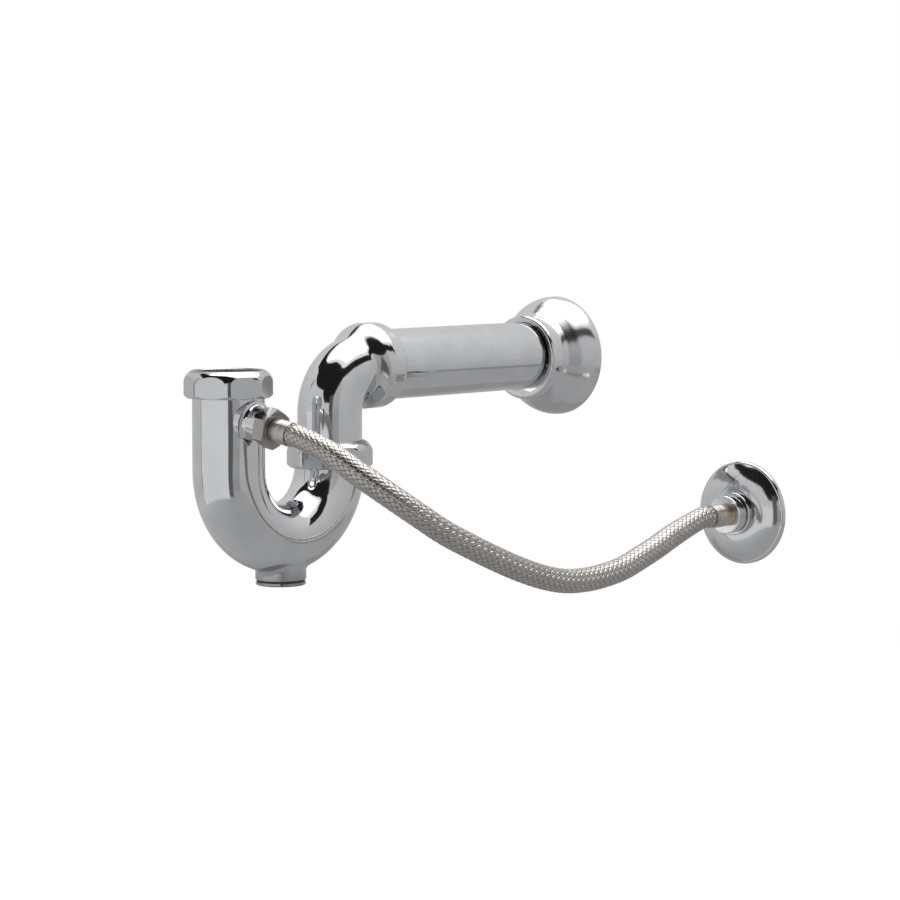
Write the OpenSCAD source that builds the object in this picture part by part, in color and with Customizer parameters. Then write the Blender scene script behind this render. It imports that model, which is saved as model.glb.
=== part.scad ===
// P trap for a wash basin, with a cleanout plug and a braided line to a wall fitting.
// Frame: the origin is on the axis of the waste arm, in the plane of the wall.
// +Y goes into the wall, +Z is up, and +X is to the right of someone facing the wall.

/* [Layout] */
// Wall to the axis of the union
arm_reach = 208.5; // [190:0.5:260]
// Distance between the axes of the trap's two legs
leg_spacing = 82.5; // [80:0.5:96]
// Arm axis down to the top of the outlet hub
union_drop = 48; // [46:0.5:70]
// Outlet hub up to the top of the inlet hub
inlet_rise = 45; // [43:0.5:70]
// Outlet hub down to the centre of the return bend
bend_drop = 7; // [6:0.5:20]

/* [Trap body] */
// Wall of the hubs that carry the nut threads
hub_wall = 3.15; // [2.6:0.05:4]
// Length of those hubs
hub_len = 10; // [9:0.5:12]
// Step from a hub in to its leg
leg_step = 1.85; // [1:0.05:2.2]
// Wall of the legs and the bend
leg_wall = 2.5; // [1.8:0.1:3]
// Depth of the socket that takes the basin's tailpiece
socket_depth = 15; // [10:0.5:16]

/* [Slip joints] */
// Outside diameter of the tubes that slip into both hubs
tail_od = 38.1; // [37.5:0.1:38.4]
// Gap round a tube in its hub
socket_gap = 0.3; // [0.2:0.05:0.4]
// Gap round a tube in its washer
washer_gap = 0.4; // [0.3:0.05:0.5]
// Gap round a tube in the mouth of its nut
mouth_gap = 0.5; // [0.4:0.1:0.8]
// Gap between a thread and its nut, drawn plain
thread_gap = 0.3; // [0.2:0.05:0.4]
// Thickness of a slip washer
washer_h = 3; // [2:0.5:4]
// Gap between the elbow's spigot and the bottom of its socket
spigot_gap = 1; // [0.5:0.1:3]

/* [Slip nuts] */
// Wall of a nut at its rounded corners
nut_wall = 2.5; // [2:0.1:4]
// Depth of the eight flats below the corners
nut_flat = 1.3; // [0.8:0.1:1.6]
// Thickness of the domed top
nut_top = 3; // [2:0.1:4]
// Length of the skirt below the top of the hub
nut_skirt = 10; // [8:0.5:10]
// Rounding of the upper edge
nut_round = 7.5; // [5:0.5:8]
// Bevel of the lower edge
nut_bevel = 1.6; // [0.8:0.2:2]
// Bevel round the mouth
mouth_bevel = 1.2; // [0.6:0.2:1.6]

/* [Cleanout] */
// Diameter of the plug's thread
plug_thread = 22; // [18:0.5:26]
// Wall of the boss round the plug
boss_wall = 3.5; // [3:0.1:6]
// Length of the boss below the bend
boss_len = 3.5; // [2.5:0.5:8]
// Length of the plug's thread
plug_len = 8; // [6:0.5:9]
// Thickness of the plug's head
plug_head = 2; // [1.8:0.1:3]
// Thickness of the plug's washer
plug_washer_h = 1.4; // [1:0.1:2]
// Width of the square key socket in the plug
plug_key = 12; // [8:0.5:13]
// Least wall of the plug's thread, at the corners of its square hollow
plug_wall = 1.2; // [0.8:0.1:2]
// Step from the side of the boss in to the plug's head
plug_step = 0.2; // [0:0.1:1]
// Step from the side of the boss in to the plug's washer
washer_step = 1; // [0.6:0.1:1.6]

/* [Elbow] */
// Radius of the elbow's centre line
elbow_bend = 27; // [25:0.5:30]
// Axis of the union to the face of the outlet hub
elbow_reach = 43; // [42:0.5:60]
// Wall of the elbow
elbow_wall = 2.4; // [1.8:0.1:3]
// Wall of the outlet hub round the arm
elbow_hub_wall = 4.35; // [3:0.05:6]
// Length of the outlet hub
elbow_hub_len = 17; // [16:0.5:24]
// Rounding of the hub's ends
elbow_hub_round = 5; // [3:0.5:6]
// Radius of the hollow curve between the bend and the hub
elbow_cove = 6; // [4:0.5:8]
// Depth of the arm in the hub
arm_in = 14; // [10:0.5:16]

/* [Waste arm] */
// Outside diameter of the pipe
arm_od = 42.2; // [41.4:0.1:43]
// Wall of the pipe
arm_wall = 2.8; // [1.6:0.1:3.4]
// Length of the threaded end inside the wall
arm_thread_len = 15; // [10:0.5:40]
// Depth of that thread
arm_thread_step = 0.4; // [0.2:0.1:0.8]

/* [Wall bell] */
// Diameter at the wall
bell_od = 75.2; // [72:0.2:80]
// Depth from the wall to the front lip
bell_depth = 34; // [34:0.5:44]
// Wall of the neck round its bore
bell_neck_wall = 3.7; // [3:0.1:5]
// Length of the neck's straight part
bell_neck_len = 9; // [8:0.1:10]
// Radius of the rounded shoulder at the wall
bell_shoulder = 24; // [20:0.5:25]
// Radius of the hollow curve between the flank and the neck
bell_cove = 8; // [6:0.5:8.5]
// Wall of the bell
bell_wall = 2; // [1.4:0.1:2.6]
// Distance that the loose bell hangs below the arm's axis
bell_sag = 1.2; // [0:0.1:1.6]
// Gap between the arm and the top of the bell's bore
bell_gap = 0.3; // [0.2:0.05:0.6]
// Thickness of the neck where it grips the arm
bell_grip = 12; // [10:0.5:14]
// Rounding of the front lip
bell_lip = 2; // [1:0.1:2]
// Diameter of the set screw
set_screw_d = 5; // [4:0.5:6]
// Turn of the set screw below the horizontal
set_screw_turn = 15; // [0:1:60]

/* [Wall flange] */
// Distance of the flange to the right of the arm
flange_x = 148.5; // [130:0.5:200]
// Distance of the flange below the arm
flange_drop = 91.5; // [60:0.5:120]
// Diameter of the flange
flange_od = 62.4; // [56:0.2:76]
// Height of the dome at its neck
flange_dome = 9; // [7:0.5:12]
// Height of the rounded rim
flange_rim = 3; // [2.4:0.2:5]
// Thickness of the flange
flange_wall = 1.4; // [1:0.1:2]
// Wall of the flange's neck
flange_neck_wall = 1.3; // [1:0.1:2]
// Height of the flange's neck
flange_neck_h = 12; // [11:0.5:15]
// Gap round the adapter
flange_gap = 0.3; // [0.2:0.05:0.5]

/* [Wall adapter] */
// Outside diameter of the round adapter
adapter_od = 22.8; // [21.6:0.2:23.4]
// Distance that it stands out from the wall
adapter_out = 20; // [18:0.5:26]
// Length of its thread inside the wall
adapter_thread_len = 18; // [12:0.5:30]
// Depth of that thread
adapter_thread_step = 1; // [0.6:0.1:1.6]
// Depth of the socket that takes the hose
adapter_socket = 12; // [8:0.5:14]

/* [Primer port] */
// Height of the port below the arm, on the axis of the leg
port_drop = 22.8; // [22:0.2:30]
// Slope of the port
port_slope = 10; // [0:1:14]
// Leg axis to the shoulder of the port
port_reach = 30; // [28:0.5:36]
// Outside diameter of the port's boss
port_od = 19; // [17.6:0.2:20]
// Radius of the hollow curve at the boss's root
port_cove = 3; // [2:0.5:5]
// Outside diameter of the port's thread
port_thread = 16.4; // [15.4:0.2:17]
// Length of the port's thread
port_thread_len = 4.5; // [4:0.5:7]
// Bore of the port
port_bore = 8; // [6:0.5:9]

/* [Primer line] */
// Width of the hex nut across its flats
hose_nut_flats = 20.6; // [20:0.2:24]
// Thickness of the nut's lip
hose_nut_lip = 1.4; // [1:0.1:2]
// Gap between the nut and the shoulder of the port
hose_nut_back = 0.4; // [0.3:0.1:1]
// Thickness of the nut's gasket
gasket_h = 1.5; // [1:0.1:2]
// Thickness of the stem's collar
stem_collar = 1.2; // [1:0.1:2]
// Outside diameter of both stems
stem_od = 9.6; // [9:0.1:10]
// Wall of both stems
stem_wall = 1.6; // [1:0.1:2]
// Length of a stem inside the hose
stem_in = 6.5; // [5:0.5:7]
// Running gap round a stem
stem_gap = 0.3; // [0.2:0.05:0.4]
// Length of both ferrules
ferrule_len = 12; // [9:0.5:15]
// Step from the end of the hose out to its ferrule
ferrule_step = 0.4; // [0.2:0.1:1]
// Outside diameter of the thread in the adapter's mouth
wall_thread = 13.2; // [12.6:0.2:16]
// Visible thread between the adapter and its ferrule
stem_show = 3; // [2:0.5:6]
// Wall of the liner
liner_wall = 0.65; // [0.5:0.05:1]
// Gap between the braid and the liner
liner_gap = 0.15; // [0.1:0.05:0.2]
// Thickness of the braid at the ends of the hose
braid_wall = 0.7; // [0.5:0.05:1]
// Swell of the braid between the ends
braid_swell = 0.5; // [0:0.1:0.8]

/* [Hidden] */
$fn = 96;
eps = 0.01;

// Axes and heights
union_y = -arm_reach;
inlet_y = union_y - leg_spacing;
bend_y = union_y - leg_spacing / 2;
union_z = -union_drop;
inlet_z = union_z + inlet_rise;
bend_z = union_z - bend_drop;
bend_r = leg_spacing / 2;
flange_z = -flange_drop;

// Slip joints
tail_r = tail_od / 2;
socket_r = tail_r + socket_gap;
hub_r = socket_r + hub_wall;
leg_r = hub_r - leg_step;
leg_bore_r = leg_r - leg_wall;
mouth_r = tail_r + mouth_gap;
nut_bore_r = hub_r + thread_gap;
washer_in_r = tail_r + washer_gap;
washer_out_r = hub_r - thread_gap;
nut_over = washer_h + nut_top;
nut_r = nut_bore_r + nut_wall;
nut_corner_r = (nut_r - nut_flat) / cos(22.5);

// Cleanout
plug_r = plug_thread / 2;
plug_hole_r = plug_r + thread_gap;
plug_hollow = (plug_r - plug_wall) * sqrt(2);
boss_r = plug_hole_r + boss_wall;
boss_top = bend_z - bend_r;
boss_foot = boss_top - leg_r - boss_len;

// Elbow and arm
elbow_bore_r = tail_r - elbow_wall;
spigot_foot = union_z - hub_len + spigot_gap;
bend_end = union_y + elbow_bend;
hub_front = union_y + elbow_reach;
arm_r = arm_od / 2;
arm_bore_r = arm_r - arm_wall;
arm_start = hub_front - arm_in;
arm_thread_r = arm_r - arm_thread_step;
pipe_gap = 0.05;
elbow_hub_r = arm_r + pipe_gap + elbow_hub_wall;
hub_ring_r = elbow_hub_r - elbow_hub_round;
hub_crest = elbow_hub_len - elbow_hub_round;
hub_sink = 1;
hub_nudge = 0.01;
elbow_cove_r = tail_r - hub_sink + elbow_cove;
hub_turn = acos((elbow_cove_r - hub_ring_r) / (elbow_hub_round + elbow_cove));
hub_joint = [hub_ring_r, hub_crest] + elbow_hub_round * [cos(hub_turn), sin(hub_turn)];
hub_back = hub_crest + (elbow_hub_round + elbow_cove) * sin(hub_turn);

// Wall bell, measured out from the wall
bell_r = bell_od / 2;
bell_bore_r = arm_r + bell_sag + bell_gap;
bell_neck_r = bell_bore_r + bell_neck_wall;
shoulder_r = bell_r - bell_shoulder;
cove_h = bell_depth - bell_neck_len;
neck_out = bell_neck_r - shoulder_r;
// The largest hollow curve that still leaves a flank between itself and the shoulder
flank_share = 0.95;
cove_room = (cove_h * cove_h + neck_out * neck_out - bell_shoulder * bell_shoulder)
    / (2 * (bell_shoulder - neck_out));
cove_fit = min(bell_cove, flank_share * cove_room);
cove_r = bell_neck_r + cove_fit;
cove_out = cove_r - shoulder_r;
bell_flank = asin((bell_shoulder + cove_fit) / norm([cove_h, cove_out])) - atan2(cove_out, cove_h);
flank_nudge = 0.03;
flank_foot = bell_flank_point(bell_shoulder - flank_nudge);
flank_top = [cove_r, cove_h] - (cove_fit - flank_nudge) * [cos(bell_flank), sin(bell_flank)];
hollow_foot = bell_flank_point(bell_shoulder - bell_wall - flank_nudge);
hollow_h = bell_depth - bell_grip;
hollow_r = hollow_foot[0] - (hollow_h - hollow_foot[1]) * tan(bell_flank);
screw_r = set_screw_d / 2;
screw_out = bell_depth - bell_grip / 2;
screw_gap = 0.05;
screw_sink = 0.6;
screw_key = set_screw_d / 2;

// Wall flange and adapter, measured out from the wall
flange_r = flange_od / 2;
adapter_r = adapter_od / 2;
flange_bore_r = adapter_r + flange_gap;
flange_neck_r = flange_bore_r + flange_neck_wall;
adapter_thread_r = adapter_r - adapter_thread_step;
wall_thread_r = wall_thread / 2;
adapter_floor = adapter_out - adapter_socket;
wall_ferrule_foot = adapter_out + stem_show;
wall_hose_end = wall_ferrule_foot + ferrule_len;
edge_round = 0.6;

// Primer line, measured along the port from the axis of the leg
port_r = port_od / 2;
port_thread_r = port_thread / 2;
port_end = port_reach + port_thread_len;
collar_foot = port_end + gasket_h;
collar_top = collar_foot + stem_collar;
nut_foot = port_reach + hose_nut_back;
nut_end = collar_top + hose_nut_lip;
ferrule_foot = nut_end + stem_gap;
hose_start = ferrule_foot + ferrule_len;
stem_r = stem_od / 2;
stem_bore_r = stem_r - stem_wall;
groove_r = 0.6;
groove_shares = [0.35, 0.65];

// Hose: the route from the port to the wall, and the sections along it
hose_sides = 12;
hose_lead = 8;
swell_rings = 4;
route = concat(
    [port_point(hose_start), port_point(hose_start + hose_lead)],
    [
        [78, -289, -40.5], [94, -283.5, -51], [108.5, -274.5, -62.5], [120, -263.5, -73.5],
        [128.5, -251.5, -83.5], [135.5, -237.5, -92], [140.5, -223, -99.5], [144, -207, -106.5],
        [147, -190, -112.5], [148.5, -172, -116.5], [149.5, -154, -117.5], [150, -137, -116.5],
        [150, -120, -114], [149.5, -103, -109.5], [149, -86, -104.5], [148.5, -68, -98.5]
    ],
    [wall_point(wall_hose_end + hose_lead), wall_point(wall_hose_end)]
);
last = len(route) - 1;
liner_in_r = (stem_r + pipe_gap) / cos(180 / hose_sides);
liner_out_r = liner_in_r + liner_wall;
braid_in_r = liner_out_r + liner_gap;
hose_end_r = braid_in_r + braid_wall;
ferrule_r = hose_end_r + ferrule_step;

// A point on the axis of the port, at a distance from the axis of the leg
function port_point(s) = [s * cos(port_slope), inlet_y, -port_drop - s * sin(port_slope)];

// A point on the axis of the wall fitting, at a distance out from the wall
function wall_point(h) = [flange_x, -h, flange_z];

// The point where the bell's flank leaves a shoulder of a given radius
function bell_flank_point(r) = [shoulder_r + r * cos(bell_flank), r * sin(bell_flank)];

// Direction of the route at a point: straight out of both ends, then from point to point
function unit(v) = v / norm(v);
function route_dir(i) = unit(
    i < 2 ? route[1] - route[0] :
    i > last - 2 ? route[last] - route[last - 1] :
    route[i + 1] - route[i - 1]
);

// The outside radius of the hose, drawn in over a few rings at both ends
function swell(i) = min(1, min(i, last - i) / swell_rings);
function hose_r(i) = hose_end_r + braid_swell * swell(i);

// One ring of points round the route
function ring(i, r) =
    let (
        along = route_dir(i),
        side = unit(cross([0, 0, 1], along)),
        up = cross(along, side)
    )
    [
        for (k = [0 : hose_sides - 1])
            route[i] + r * (cos(k * 360 / hose_sides) * side + sin(k * 360 / hose_sides) * up)
    ];

// Two triangles for each face between ring i and the next, from the first point of a skin
function band(first, i, turned) = [
    for (k = [0 : hose_sides - 1])
        let (
            a = first + i * hose_sides + k,
            b = first + i * hose_sides + (k + 1) % hose_sides,
            c = a + hose_sides,
            d = b + hose_sides
        )
        each (turned ? [[a, b, d], [a, d, c]] : [[a, d, b], [a, c, d]])
];

// Two triangles for each face of the ring-shaped end at ring i
function end_face(inner, i, turned) = [
    for (k = [0 : hose_sides - 1])
        let (
            a = i * hose_sides + k,
            b = i * hose_sides + (k + 1) % hose_sides,
            c = a + inner,
            d = b + inner
        )
        each (turned ? [[a, d, c], [a, b, d]] : [[a, c, d], [a, d, b]])
];

// A tube along the route, with an outer radius for each ring and one bore
module route_tube(outer, bore_r) {
    count = (last + 1) * hose_sides;
    skin = [for (i = [0 : last]) each ring(i, outer[i])];
    bore = [for (i = [0 : last]) each ring(i, bore_r)];
    sides = [
        for (i = [0 : last - 1])
            each concat(band(0, i, false), band(count, i, true))
    ];
    polyhedron(concat(skin, bore), concat(sides, end_face(count, 0, true), end_face(count, last, false)));
}

// Frames: upright on a leg, out from the wall, and out along the port
module at_leg(y, z) {
    translate([0, y, z]) children();
}

module off_wall(x, z) {
    translate([x, 0, z]) rotate([90, 0, 0]) children();
}

module on_port() {
    translate([0, inlet_y, -port_drop]) rotate([0, 90 + port_slope, 0]) children();
}

// A round bar from one height to another
module bar(r, from, to) {
    translate([0, 0, from]) cylinder(r = r, h = to - from);
}

// A ring between two radii and two heights
module collar(outer, inner, from, to) {
    difference() {
        bar(outer, from, to);
        bar(inner, from - eps, to + eps);
    }
}

// Half of a section with one rounded upper corner
module rounded_section(r, h, round) {
    square([r - round, h]);
    square([r, h - round]);
    translate([r - round, h - round]) circle(round);
}

// A bent bar, from a start angle through a turn
module bent_bar(r, bend, turn) {
    rotate_extrude(angle = turn) translate([bend, 0]) circle(r);
}

// The path of the trap: inlet leg, return bend and outlet leg
module trap_path(r, inlet_top, outlet_top) {
    translate([0, bend_y, bend_z]) rotate([-90, 0, -90]) bent_bar(r, bend_r, 180);
    at_leg(inlet_y, bend_z) bar(r, 0, inlet_top - bend_z);
    at_leg(union_y, bend_z) bar(r, 0, outlet_top - bend_z);
}

// The port's boss, with a hollow curve at its root
module port_boss() {
    rotate_extrude() {
        square([port_r, port_reach]);
        difference() {
            square([port_r + port_cove, leg_r + port_cove]);
            translate([port_r + port_cove, leg_r + port_cove]) circle(port_cove);
        }
    }
    bar(port_thread_r, 0, port_end);
}

// Casting: two legs, return bend, two threaded hubs, port and cleanout boss
module trap_body() {
    color("gainsboro")
    difference() {
        union() {
            trap_path(leg_r, inlet_z - hub_len, union_z);
            at_leg(inlet_y, inlet_z) bar(hub_r, -hub_len, 0);
            at_leg(union_y, union_z) bar(hub_r, -hub_len, 0);
            on_port() port_boss();
            at_leg(bend_y, 0) bar(boss_r, boss_foot, boss_top);
        }
        trap_path(leg_bore_r, inlet_z + eps, union_z + eps);
        at_leg(inlet_y, inlet_z) bar(socket_r, -socket_depth, eps);
        at_leg(union_y, union_z) bar(socket_r, -hub_len, eps);
        on_port() bar(port_bore / 2, 0, port_end + eps);
        at_leg(bend_y, 0) bar(plug_hole_r, boss_foot - eps, boss_top);
    }
}

// A slip nut, seated on the top of its hub
module slip_nut() {
    color("silver")
    difference() {
        intersection() {
            translate([0, 0, -nut_skirt]) rotate_extrude() difference() {
                rounded_section(nut_r, nut_skirt + nut_over, nut_round);
                translate([nut_r, 0]) rotate(45) square(nut_bevel * sqrt(2), center = true);
            }
            translate([0, 0, -nut_skirt])
                cylinder(r = nut_corner_r, h = nut_skirt + nut_over, $fn = 8);
        }
        bar(nut_bore_r, -nut_skirt - eps, washer_h);
        bar(mouth_r, 0, nut_over + eps);
        translate([0, 0, nut_over - mouth_bevel])
            cylinder(r1 = mouth_r, r2 = mouth_r + mouth_bevel + eps, h = mouth_bevel + eps);
    }
}

module slip_washer() {
    color("dimgray") collar(washer_out_r, washer_in_r, 0, washer_h);
}

module inlet_nut() {
    at_leg(inlet_y, inlet_z) slip_nut();
}

module inlet_washer() {
    at_leg(inlet_y, inlet_z) slip_washer();
}

module union_nut() {
    at_leg(union_y, union_z) slip_nut();
}

module union_washer() {
    at_leg(union_y, union_z) slip_washer();
}

// Plug: a thin rounded head, a hollow thread and a square key socket
module cleanout_plug() {
    head_top = boss_foot - plug_washer_h;
    color("silver")
    at_leg(bend_y, head_top) difference() {
        union() {
            mirror([0, 0, 1]) rotate_extrude() rounded_section(boss_r - plug_step, plug_head, plug_head / 2);
            bar(plug_r, 0, plug_washer_h + plug_len);
        }
        translate([0, 0, plug_washer_h]) linear_extrude(plug_len + eps) square(plug_hollow, center = true);
        translate([0, 0, -plug_head - eps]) linear_extrude(plug_head) square(plug_key, center = true);
    }
}

module cleanout_washer() {
    color("black")
    at_leg(bend_y, boss_foot - plug_washer_h) collar(boss_r - washer_step, plug_hole_r, 0, plug_washer_h);
}

// The path of the elbow: spigot, quarter bend and a short run to the arm
module elbow_path(r, foot, run_end) {
    at_leg(union_y, foot) bar(r, 0, -elbow_bend - foot);
    translate([0, bend_end, -elbow_bend]) rotate([90, 0, -90]) bent_bar(r, elbow_bend, 90);
    off_wall(0, 0) bar(r, -run_end, -bend_end);
}

// Half section of the outlet hub: a rounded front, and a hollow curve down to the bend
module hub_section() {
    translate([0, hub_crest]) mirror([0, 1]) rounded_section(elbow_hub_r, hub_crest, elbow_hub_round);
    difference() {
        union() {
            intersection() {
                translate([hub_ring_r, hub_crest]) circle(elbow_hub_round);
                translate([0, hub_crest]) square([elbow_hub_r + 1, hub_back - hub_crest]);
            }
            polygon([
                [0, hub_crest], [hub_ring_r, hub_crest], hub_joint, [hub_joint[0], hub_back], [0, hub_back]
            ]);
        }
        translate([elbow_cove_r, hub_back]) circle(elbow_cove + hub_nudge);
    }
}

// Cast elbow with a round-ended hub for the arm
module elbow() {
    color("gainsboro")
    difference() {
        union() {
            elbow_path(tail_r, spigot_foot, hub_front - elbow_hub_round);
            off_wall(0, 0) translate([0, 0, -hub_front]) rotate_extrude() hub_section();
        }
        elbow_path(elbow_bore_r, spigot_foot - eps, hub_front + eps);
        off_wall(0, 0) bar(arm_r + pipe_gap, -hub_front - eps, -arm_start);
    }
}

// Pipe from the elbow to the wall, with its thread drawn as a plain smaller end
module waste_arm() {
    color("silver")
    off_wall(0, 0) difference() {
        union() {
            bar(arm_r, 0, -arm_start);
            bar(arm_thread_r, -arm_thread_len, 0);
        }
        bar(arm_bore_r, -arm_thread_len - eps, -arm_start + eps);
    }
}

// Half section of the bell's rounded shoulder, up to a little past the foot of the flank
module shoulder_section(r) {
    intersection() {
        translate([shoulder_r, 0]) circle(r);
        square([bell_r, r * sin(bell_flank) + 3]);
    }
}

// Half section of the bell: shoulder, sloping flank, hollow curve and rounded neck
module bell_section() {
    difference() {
        union() {
            shoulder_section(bell_shoulder);
            polygon([
                [0, 0], [shoulder_r, 0], flank_foot, flank_top, [cove_r - cove_fit / 2, cove_h], [0, cove_h]
            ]);
        }
        translate([cove_r, cove_h]) circle(cove_fit);
    }
    translate([0, cove_h]) rounded_section(bell_neck_r, bell_depth - cove_h, bell_lip);
}

// Half section of the hollow behind the flank, up to the grip
module bell_hollow() {
    shoulder_section(bell_shoulder - bell_wall);
    polygon([[0, 0], [shoulder_r, 0], hollow_foot, [hollow_r, hollow_h], [0, hollow_h]]);
}

// Deep bell that hides the hole in the wall
module wall_bell() {
    color("silver")
    off_wall(0, -bell_sag) difference() {
        rotate_extrude() bell_section();
        translate([0, 0, -eps]) rotate_extrude() bell_hollow();
        bar(bell_bore_r, -eps, bell_depth + eps);
        on_screw() bar(screw_r + screw_gap, 0, bell_r);
    }
}

// Frame of the set screw in the bell: out along the screw, turned below the horizontal
module on_screw() {
    translate([0, 0, screw_out]) rotate(-set_screw_turn) rotate([0, 90, 0]) children();
}

// Grub screw through the bell's neck on to the arm
module bell_set_screw() {
    color("dimgray")
    off_wall(0, -bell_sag) on_screw() difference() {
        bar(screw_r, arm_r + bell_gap, bell_neck_r - screw_sink);
        translate([0, 0, bell_neck_r - screw_sink - screw_key])
            cylinder(r = screw_key / 2, h = screw_key + eps, $fn = 6);
    }
}

// Shallow flange round the adapter
module flange_section(inset) {
    rim = flange_rim - inset;
    rise = flange_dome - flange_rim;
    run = flange_r - flange_rim / 2 - flange_neck_r;
    ball = (run * run + rise * rise) / (2 * rise);
    intersection() {
        translate([flange_neck_r, flange_dome - ball]) circle(ball - inset);
        square([flange_r - inset, flange_dome]);
    }
    rounded_section(flange_r - inset, rim, rim / 2);
    square([flange_neck_r, flange_dome - inset]);
}

module wall_flange() {
    color("silver")
    off_wall(flange_x, flange_z) difference() {
        rotate_extrude() {
            difference() {
                flange_section(0);
                translate([0, -eps]) flange_section(flange_wall);
            }
            translate([flange_bore_r, flange_dome - flange_wall])
                rounded_section(flange_neck_r - flange_bore_r, flange_neck_h - flange_dome + flange_wall, edge_round);
        }
        bar(flange_bore_r, -eps, flange_neck_h + eps);
    }
}

// Round adapter from the pipe in the wall to the hose
module wall_adapter() {
    color("silver")
    off_wall(flange_x, flange_z) difference() {
        union() {
            rotate_extrude() rounded_section(adapter_r, adapter_out, edge_round);
            bar(adapter_thread_r, -adapter_thread_len, 0);
        }
        bar(stem_r, -adapter_thread_len - eps, adapter_out);
        bar(wall_thread_r + pipe_gap, adapter_floor, adapter_out + eps);
    }
}

// A stem's thin end, from its shoulder to inside the hose
module stem_bar(from, to) {
    collar(stem_r, stem_bore_r, from, to);
}

module wall_stem() {
    color("goldenrod")
    off_wall(flange_x, flange_z) {
        collar(wall_thread_r, stem_bore_r, adapter_floor, wall_ferrule_foot);
        stem_bar(wall_ferrule_foot, wall_hose_end + stem_in);
    }
}

// Crimped sleeve on a hose end, with two rolled grooves
module ferrule(foot) {
    color("rosybrown")
    translate([0, 0, foot]) rotate_extrude() difference() {
        translate([stem_r + pipe_gap, 0]) square([ferrule_r - stem_r - pipe_gap, ferrule_len]);
        for (share = groove_shares) translate([ferrule_r + groove_r / 2, ferrule_len * share]) circle(groove_r);
    }
}

module wall_ferrule() {
    off_wall(flange_x, flange_z) ferrule(wall_ferrule_foot);
}

module trap_ferrule() {
    on_port() ferrule(ferrule_foot);
}

// Swivel nut: a hexagon with bevelled corners and a lip behind the stem's collar
module hose_nut() {
    corner_r = hose_nut_flats / 2 / cos(30);
    bevel = corner_r - hose_nut_flats / 2;
    nut_len = nut_end - nut_foot;
    color("silver")
    on_port() difference() {
        intersection() {
            translate([0, 0, nut_foot]) cylinder(r = corner_r, h = nut_len, $fn = 6);
            translate([0, 0, nut_foot]) rotate_extrude() polygon([
                [0, 0], [corner_r - bevel, 0], [corner_r, bevel / 2],
                [corner_r, nut_len - bevel / 2], [corner_r - bevel, nut_len], [0, nut_len]
            ]);
        }
        bar(port_thread_r + thread_gap, nut_foot - eps, collar_top);
        bar(stem_r + stem_gap, nut_foot, nut_end + eps);
    }
}

module hose_gasket() {
    color("black") on_port() collar(port_thread_r, port_bore / 2, port_end, collar_foot);
}

module trap_stem() {
    color("goldenrod")
    on_port() {
        collar(port_thread_r, stem_bore_r, collar_foot, collar_top);
        stem_bar(collar_top, hose_start + stem_in);
    }
}

// Braided cover of the line
module primer_hose() {
    color("darkgray") route_tube([for (i = [0 : last]) hose_r(i)], braid_in_r);
}

// Liner inside the braid
module hose_liner() {
    color("dimgray") route_tube([for (i = [0 : last]) liner_out_r], liner_in_r);
}

trap_body();
inlet_nut();
inlet_washer();
union_nut();
union_washer();
cleanout_plug();
cleanout_washer();
elbow();
waste_arm();
wall_bell();
bell_set_screw();
wall_flange();
wall_adapter();
wall_stem();
wall_ferrule();
hose_nut();
hose_gasket();
trap_stem();
trap_ferrule();
primer_hose();
hose_liner();
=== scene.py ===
"""Finish, hose braid and studio for a wall-hung P trap with a braided primer line."""

import math

import bpy
import numpy as np
from bpy.props import (
    FloatProperty,
    FloatVectorProperty,
    IntProperty,
    PointerProperty,
)
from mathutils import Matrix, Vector


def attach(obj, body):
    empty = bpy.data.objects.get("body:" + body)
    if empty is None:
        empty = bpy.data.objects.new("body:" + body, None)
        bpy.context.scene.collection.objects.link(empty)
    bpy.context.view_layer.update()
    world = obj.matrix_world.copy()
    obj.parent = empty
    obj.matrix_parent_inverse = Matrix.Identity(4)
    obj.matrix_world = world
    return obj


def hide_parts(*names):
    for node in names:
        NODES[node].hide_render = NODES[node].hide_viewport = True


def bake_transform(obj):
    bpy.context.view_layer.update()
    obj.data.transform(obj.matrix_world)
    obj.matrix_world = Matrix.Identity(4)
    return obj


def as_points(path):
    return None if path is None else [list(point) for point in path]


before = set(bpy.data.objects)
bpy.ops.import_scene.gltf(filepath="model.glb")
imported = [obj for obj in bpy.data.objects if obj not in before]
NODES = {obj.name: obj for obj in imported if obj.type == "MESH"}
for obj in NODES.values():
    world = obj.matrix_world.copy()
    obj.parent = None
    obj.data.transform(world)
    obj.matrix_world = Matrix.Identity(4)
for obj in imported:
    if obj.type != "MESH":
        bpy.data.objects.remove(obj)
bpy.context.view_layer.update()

bl_info = {
    "name": "P trap with a braided primer line",
    "version": (1, 0, 0),
    "blender": (4, 5, 0),
    "location": "3D View > Sidebar > P trap",
    "description": "Dresses the packed trap: braided hose, chrome, brass and rubber, and a studio",
    "category": "Object",
}

# The hose's middle line, in metres, from the port on the trap to the wall fitting.
HOSE_ROUTE = [
    (0.050127, -0.291, -0.031639), (0.058005, -0.291, -0.033028),
    (0.078, -0.289, -0.0405), (0.094, -0.2835, -0.051),
    (0.1085, -0.2745, -0.0625), (0.120, -0.2635, -0.0735),
    (0.1285, -0.2515, -0.0835), (0.1355, -0.2375, -0.092),
    (0.1405, -0.223, -0.0995), (0.144, -0.207, -0.1065),
    (0.147, -0.190, -0.1125), (0.1485, -0.172, -0.1165),
    (0.1495, -0.154, -0.1175), (0.150, -0.137, -0.1165),
    (0.150, -0.120, -0.114), (0.1495, -0.103, -0.1095),
    (0.149, -0.086, -0.1045), (0.1485, -0.068, -0.0985),
    (0.1485, -0.043, -0.0915), (0.1485, -0.035, -0.0915),
]

# The two slip nuts' axes, and the radius of their mouths with the lip round them, which the chrome
# darkens and dulls.
NUT_MOUTHS = [(0.0, -0.291, 0.0222), (0.0, -0.2085, 0.0222)]
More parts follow.
